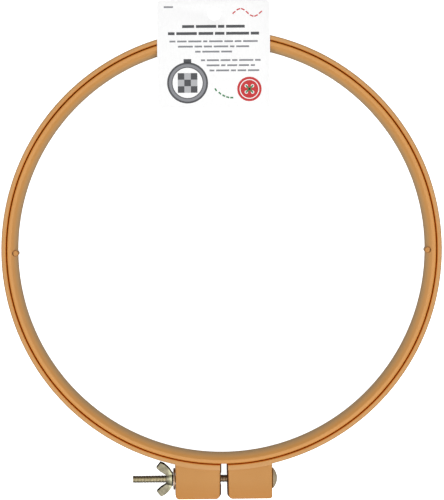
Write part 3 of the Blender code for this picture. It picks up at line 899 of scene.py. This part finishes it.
def bolt_head_shape():
    """Low dome over a short upright rim, with a narrow edge on the lug's side."""
    height = HEAD_TOP - LUG_OUTER_FACE
    dome_height = height - HEAD_RIM
    dome = (HEAD_RADIUS ** 2 + dome_height ** 2) / (2 * dome_height)
    reach = math.asin(HEAD_RADIUS / dome)
    outline = [(0, height)]
    for step in range(1, HEAD_DOME_STEPS + 1):
        lean = reach * step / HEAD_DOME_STEPS
        outline.append((dome * math.sin(lean), height - dome + dome * math.cos(lean)))
    outline += [(HEAD_RADIUS, HEAD_EDGE_HEIGHT), (HEAD_RADIUS - HEAD_EDGE_WIDTH, 0),
                (HEAD_SEAT_RING, 0), (0, 0)]
    shape = bmesh.new()
    geometry = wire_outline(shape, [(r, 0, z) for r, z in outline], closed=False)
    spin_round(shape, geometry, HEAD_STEPS)
    settle(shape)
    along_bolt(shape, LUG_OUTER_FACE)
    return shape


def bolt_neck_shape():
    half = NECK_WIDTH / 2
    shape = box_shape((LUG_OUTER_FACE - NECK_LENGTH, -BOLT_LINE - half, MIDDLE - half),
                      (LUG_OUTER_FACE, -BOLT_LINE + half, MIDDLE + half))
    round_edges(shape, shape.edges[:], NECK_EDGE_ROUND, 2)
    return shape


def make_bolt():
    """Thread, in painted shade where it shows in the gap, with the domed head and the square neck.
    """
    thread = object_from("bolt_thread", bolt_shank_shape(), BOLT_STEEL, 25)
    (gap_shade,) = add_slots(thread, BOLT_GAP_SHADE)
    for face in thread.data.polygons:
        if abs(face.center.x - GAP_SHIFT) < LUG_INNER_FACE + LUG_GAP_DRAFT:
            face.material_index = gap_shade
    head = object_from("bolt_head", bolt_head_shape(), HEAD_STEEL)
    neck = object_from("bolt_neck", bolt_neck_shape(), BOLT_STEEL)
    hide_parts("carriage_bolt")
    for piece in (thread, head, neck):
        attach(piece, "clamped_half")


def make_washer():
    thickness = WASHER_INNER_FACE - WASHER_OUTER_FACE
    shape = turned_shape(rounded([
        (SHANK_BORE, thickness, WASHER_EDGE_ROUND / 2),
        (WASHER_RADIUS, thickness, WASHER_EDGE_ROUND),
        (WASHER_RADIUS, 0, WASHER_EDGE_ROUND),
        (SHANK_BORE, 0, WASHER_EDGE_ROUND / 2),
    ]), WASHER_STEPS)
    along_bolt(shape, WASHER_OUTER_FACE)
    washer = object_from("flat_washer", shape, WASHER_STEEL)
    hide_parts("washer")
    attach(washer, "washer")


def wing_outline(side):
    """Wing as (distance from the axis, distance from the bearing face)."""
    return rounded([(side * radial * MM, along * MM, bend * MM)
                    for radial, along, bend in WING_CORNERS])


def make_wing_nut():
    """Cast wing nut: hub and wings fused, then softened as a casting is."""
    hub = rounded([
        (SHANK_BORE, NUT_HUB_LENGTH, NUT_SMALL_ROUND),
        (NUT_BACK_RADIUS, NUT_HUB_LENGTH, NUT_BACK_ROUND),
        (NUT_BASE_RADIUS, NUT_FOOT, NUT_BASE_ROUND),
        (NUT_BASE_RADIUS, 0, NUT_SMALL_ROUND),
        (SHANK_BORE, 0, NUT_SMALL_ROUND),
    ])
    nut = object_from("wing_nut_casting", turned_shape(hub, NUT_STEPS), NUT_METAL)
    wings = []
    for side in (-1, 1):
        shape = plate_shape(wing_outline(side), -WING_THICKNESS / 2, WING_THICKNESS / 2)
        round_edges(shape, flat_rims(shape), WING_EDGE_ROUND, 3)
        bmesh.ops.rotate(shape, verts=shape.verts,
                         matrix=Matrix(((0, 0, 1), (1, 0, 0), (0, 1, 0))))
        wings.append(("UNION", tool_from(shape)))
    cut_and_join(nut, wings)
    skin = nut.modifiers.new("casting", "REMESH")
    skin.mode = "VOXEL"
    skin.voxel_size = CASTING_GRID
    soften = nut.modifiers.new("soften", "SMOOTH")
    soften.factor = 0.5
    soften.iterations = CASTING_SOFTENING
    apply_modifiers(nut)
    place = Matrix.Translation((NUT_FACE, -BOLT_LINE, MIDDLE))
    turn = Matrix.Rotation(WING_TURN, 4, "X") @ Matrix.Rotation(-math.pi / 2, 4, "Y")
    nut.data.transform(place @ turn)
    nut.data.shade_smooth()
    # Painted shade: the wings' narrow edges and the hub's foot are near black.
    (dark,) = add_slots(nut, WING_EDGE_SHADE_METAL)
    wing_face = Vector((0, -math.sin(WING_TURN), math.cos(WING_TURN)))
    for face in nut.data.polygons:
        x, y, z = face.center
        away = math.hypot(y + BOLT_LINE, z - MIDDLE)
        on_wing_edge = away > WING_EDGE_START and abs(face.normal.dot(wing_face)) < 0.5
        if on_wing_edge or x > NUT_FACE - NUT_FOOT:
            face.material_index = dark
    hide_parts("wing_nut")
    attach(nut, "wing_nut")


# Hang card


def card_outline():
    return rounded([
        (CARD_LEFT, CARD_FOOT, CARD_CORNER),
        (CARD_RIGHT, CARD_FOOT, CARD_CORNER),
        (CARD_RIGHT, CARD_TOP, CARD_CORNER),
        (CARD_LEFT, CARD_TOP, CARD_CORNER),
    ])


def peg_punch():
    centre = (CARD_MIDDLE + PEG_SHIFT, CARD_TOP - PEG_DROP, TOP)
    return tool_from(rod_shape(PEG_RADIUS, 4 * HALF_HEIGHT, centre, PEG_STEPS))


def make_card_front():
    shape = plate_shape(card_outline(), CARD_FACE - CARD_THICKNESS, CARD_FACE)
    front = object_from("card_front_sheet", shape, BOARD)
    cut_and_join(front, [("DIFFERENCE", peg_punch())])
    edge = front.modifiers.new("edge", "BEVEL")
    edge.width = CARD_EDGE_ROUND
    edge.segments = 2
    edge.limit_method = "ANGLE"
    edge.angle_limit = math.radians(50)
    apply_modifiers(front)
    smooth_faces(front.data)
    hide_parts("card_front")
    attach(front, "hang_card")


def make_card_back():
    """One sheet, level at its head and foot, that loops down past the rim and under the hoop."""
    high, low = TOP - CARD_THICKNESS / 2, CARD_THICKNESS / 2
    outside = RIM + CARD_RIM_CLEARANCE
    widest = max(-CARD_LEFT, CARD_RIGHT)
    boss_inside = BULGE_INSIDE - BOSS_STANDOUT
    inside = math.sqrt(boss_inside ** 2 - widest ** 2) - CARD_RIM_CLEARANCE
    path = rounded([
        (CARD_TOP + CARD_CORNER, high, 0),
        (outside + CARD_BACK_LEAN, high, CARD_FOLD_ROUND),
        (outside, low, CARD_FOLD_ROUND),
        (inside, low, CARD_FOLD_ROUND),
        (inside - CARD_FRONT_LEAN, high, CARD_FOLD_ROUND),
        (CARD_FOOT - CARD_CORNER, high, 0),
    ], closed=False)
    shape = bmesh.new()
    width = CARD_RIGHT - CARD_LEFT
    geometry = wire_outline(shape, [(CARD_LEFT - width / 2, y, z) for y, z in path], closed=False)
    grown = bmesh.ops.extrude_edge_only(shape, edges=edges_in(geometry))["geom"]
    bmesh.ops.translate(shape, verts=verts_in(grown), vec=(2 * width, 0, 0))
    back = object_from("card_back_sheet", shape, BOARD)
    board = back.modifiers.new("board", "SOLIDIFY")
    board.thickness = CARD_THICKNESS
    board.offset = 0
    board.use_even_offset = True
    cut_and_join(back, [
        ("INTERSECT", tool_from(plate_shape(card_outline(), -TOP, 2 * TOP))),
        ("DIFFERENCE", peg_punch()),
    ])
    smooth_faces(back.data, 50)
    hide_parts("card_back")
    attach(back, "hang_card")


# Print on the card: plain bars and simple sewing motifs


def print_height(layer):
    """Bottom and top of a layer of ink: all start just inside the board, each tops the last."""
    return CARD_FACE - PRINT_STEP / 2, CARD_FACE + (layer + 0.5) * PRINT_STEP


def on_card(centre, height):
    """Place on the card, from (right of its middle, down from its top edge)."""
    return CARD_MIDDLE + centre[0], CARD_TOP - centre[1], height


def add_bar(shape, centre, length, height, layer, turn=0.0):
    low, high = print_height(layer)
    made = bmesh.ops.create_cube(shape, size=1)["verts"]
    bmesh.ops.scale(shape, verts=made, vec=(length, height, high - low))
    bmesh.ops.rotate(shape, verts=made, matrix=Matrix.Rotation(turn, 3, "Z"))
    bmesh.ops.translate(shape, verts=made, vec=on_card(centre, (low + high) / 2))


def add_disc(shape, centre, radius, layer):
    low, high = print_height(layer)
    made = bmesh.ops.create_cone(shape, cap_ends=True, segments=DISC_STEPS, radius1=radius,
                                 radius2=radius, depth=high - low)["verts"]
    bmesh.ops.translate(shape, verts=made, vec=on_card(centre, (low + high) / 2))


def add_ring(shape, centre, outer, inner, layer):
    low, high = print_height(layer)
    old = set(shape.verts)
    wire = wire_outline(shape, [(inner, 0, low), (outer, 0, low), (outer, 0, high),
                                (inner, 0, high)])
    spin_round(shape, wire, PRINT_RING_STEPS)
    made = [vert for vert in shape.verts if vert not in old]
    bmesh.ops.translate(shape, verts=made, vec=on_card(centre, 0))


def add_line(shape, line, height):
    """A centred line of bars of uneven length, as small print looks from afar."""
    (right, down), width, bars = line
    right, down, width = right * MM, down * MM, width * MM
    shares = [1 + 0.55 * math.sin(2.4 * index + down / MM) for index in range(bars)]
    unit = (width - LINE_GAP * (bars - 1)) / sum(shares)
    x = right - width / 2
    for share in shares:
        length = share * unit
        add_bar(shape, (x + length / 2, down), length, height, 0)
        x += length + LINE_GAP


def print_object(name, shape, ink):
    settle(shape, 0.1 * WELD)
    thing = object_from(name, shape, ink)
    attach(thing, "hang_card")


def make_line_print():
    """The heading and the small lines under it, with one short bar in the card's corner."""
    heading = bmesh.new()
    for line in HEADING_LINES:
        add_line(heading, line, HEADING_HEIGHT)
    print_object("print_heading", heading, INK_GREY)
    text = bmesh.new()
    add_bar(text, *CORNER_BAR, 0)
    for line in TEXT_LINES:
        add_line(text, line, TEXT_HEIGHT)
    print_object("print_text", text, INK_PALE)


def make_button_print():
    """A sewn button with its thread, and a wave and a curve of running stitches."""
    red = bmesh.new()
    for index in range(7):
        phase = 1.05 * index
        place = ((14.5 + 3.1 * index) * MM, (9.0 - 2.6 * math.sin(phase)) * MM)
        add_bar(red, place, *RED_STITCH, 0, math.atan(0.9 * math.cos(phase)))
    add_disc(red, BUTTON_PLACE, BUTTON_RADIUS, 0)
    print_object("print_red", red, INK_RED)
    light = bmesh.new()
    add_ring(light, BUTTON_PLACE, *BUTTON_RING, 1)
    for x in (-1, 1):
        for y in (-1, 1):
            hole = (BUTTON_PLACE[0] + x * BUTTON_HOLE_PLACE,
                    BUTTON_PLACE[1] + y * BUTTON_HOLE_PLACE)
            add_disc(light, hole, BUTTON_HOLE_RADIUS, 1)
    print_object("print_button_holes", light, BOARD)
    green = bmesh.new()
    for turn in (-1, 1):
        add_bar(green, BUTTON_PLACE, *BUTTON_THREAD, 2, turn * math.pi / 4)
    for index in range(5):
        place = ((12.5 - 2.8 * index) * MM, (68.5 - 0.35 * index ** 2) * MM)
        add_bar(green, place, *GREEN_STITCH, 0, -0.27 * index)
    print_object("print_green", green, INK_GREEN)


def make_hoop_print():
    """A round hoop with a nine-patch block in it, in greys."""
    right, down = HOOP_PLACE
    outside, joint, inside, cloth = HOOP_RINGS
    dark, middle, pale = bmesh.new(), bmesh.new(), bmesh.new()
    add_ring(dark, HOOP_PLACE, outside, joint, 0)
    add_ring(middle, HOOP_PLACE, joint, inside, 0)
    add_ring(dark, HOOP_PLACE, inside, cloth, 1)
    add_bar(dark, (right, down + CLAMP_DROP), *CLAMP_BAR, 0)
    for column in (-1, 0, 1):
        for row in (-1, 0, 1):
            ink = pale if abs(column) + abs(row) == 1 else dark
            add_bar(ink, (right + column * PATCH, down + row * PATCH), PATCH, PATCH, 0)
    print_object("print_hoop_dark", dark, INK_GREY)
    print_object("print_hoop_middle", middle, INK_PALE)
    print_object("print_hoop_pale", pale, INK_SILVER)


# Stage


def make_floor():
    """White table, seen by the camera only, so that it throws no colour on the part."""
    shape = bmesh.new()
    bmesh.ops.create_grid(shape, x_segments=1, y_segments=1, size=TABLE_SIZE)
    bmesh.ops.translate(shape, verts=shape.verts, vec=(0, 0, -TABLE_DROP))
    finish = Finish("white_table", (0.9, 0.9, 0.9, 1), 0.8)
    finish.shader.inputs["Specular IOR Level"].default_value = 0
    finish.shader.inputs["Emission Color"].default_value = (1, 1, 1, 1)
    finish.shader.inputs["Emission Strength"].default_value = TABLE_GLOW
    floor = object_from("table", shape, finish.material)
    floor.visible_diffuse = False
    floor.visible_glossy = False


def add_light(name, place, size, power):
    data = bpy.data.lights.new(name, "AREA")
    data.shape = "DISK"
    data.size = size
    data.energy = power
    light = bpy.data.objects.new(name, data)
    light.location = place
    light.rotation_euler = Vector(place).to_track_quat("Z", "Y").to_euler()
    bpy.context.scene.collection.objects.link(light)


def make_light():
    """Three soft boxes round the table, a bright patch overhead and a dark horizon."""
    for box in SOFT_BOXES:
        add_light(*box)
    world = bpy.data.worlds.new("studio")
    bpy.context.scene.world = world
    world.use_nodes = True
    nodes, links = world.node_tree.nodes, world.node_tree.links
    direction = nodes.new("ShaderNodeSeparateXYZ")
    links.new(nodes.new("ShaderNodeTexCoord").outputs["Generated"], direction.inputs["Vector"])
    total = nodes.new("ShaderNodeMath")
    total.operation = "ADD"
    for index, band in enumerate(SKY_BANDS):
        glow = nodes.new("ShaderNodeMapRange")
        for name, value in zip(("From Min", "From Max", "To Min", "To Max"), band):
            glow.inputs[name].default_value = value
        links.new(direction.outputs["Z"], glow.inputs["Value"])
        links.new(glow.outputs["Result"], total.inputs[index])
    links.new(total.outputs["Value"], nodes["Background"].inputs["Strength"])
    nodes["Background"].inputs["Color"].default_value = (1, 1, 1, 1)
    bpy.context.scene.view_settings.view_transform = "Standard"


def make_camera():
    """Camera above the hoop, a little to the left and towards the card."""
    distance = 1.10
    pixels_per_metre = 1412.5
    frame_height = 500
    foot = Vector((-0.019, 0.075, 0))
    aim = Vector((-0.0001, 0.0012, TOP))
    roll = math.radians(0.45)
    data = bpy.data.cameras.new("photo_camera")
    data.sensor_fit = "VERTICAL"
    data.sensor_height = 24
    data.lens = pixels_per_metre * distance / frame_height * data.sensor_height
    data.clip_end = 20
    camera = bpy.data.objects.new("photo_camera", data)
    place = Vector((foot.x, foot.y, TOP + distance))
    back = (place - aim).normalized()
    up = Vector((math.sin(roll), math.cos(roll), 0))
    right = up.cross(back).normalized()
    up = back.cross(right)
    turn = Matrix((right, up, back)).transposed().to_4x4()
    camera.matrix_world = Matrix.Translation(place) @ turn
    bpy.context.scene.collection.objects.link(camera)
    bpy.context.scene.camera = camera


make_camera()
make_light()
make_floor()
make_inner_hoop()
make_outer_hoop()
make_bolt()
make_washer()
make_wing_nut()
make_card_front()
make_card_back()
make_line_print()
make_button_print()
make_hoop_print()
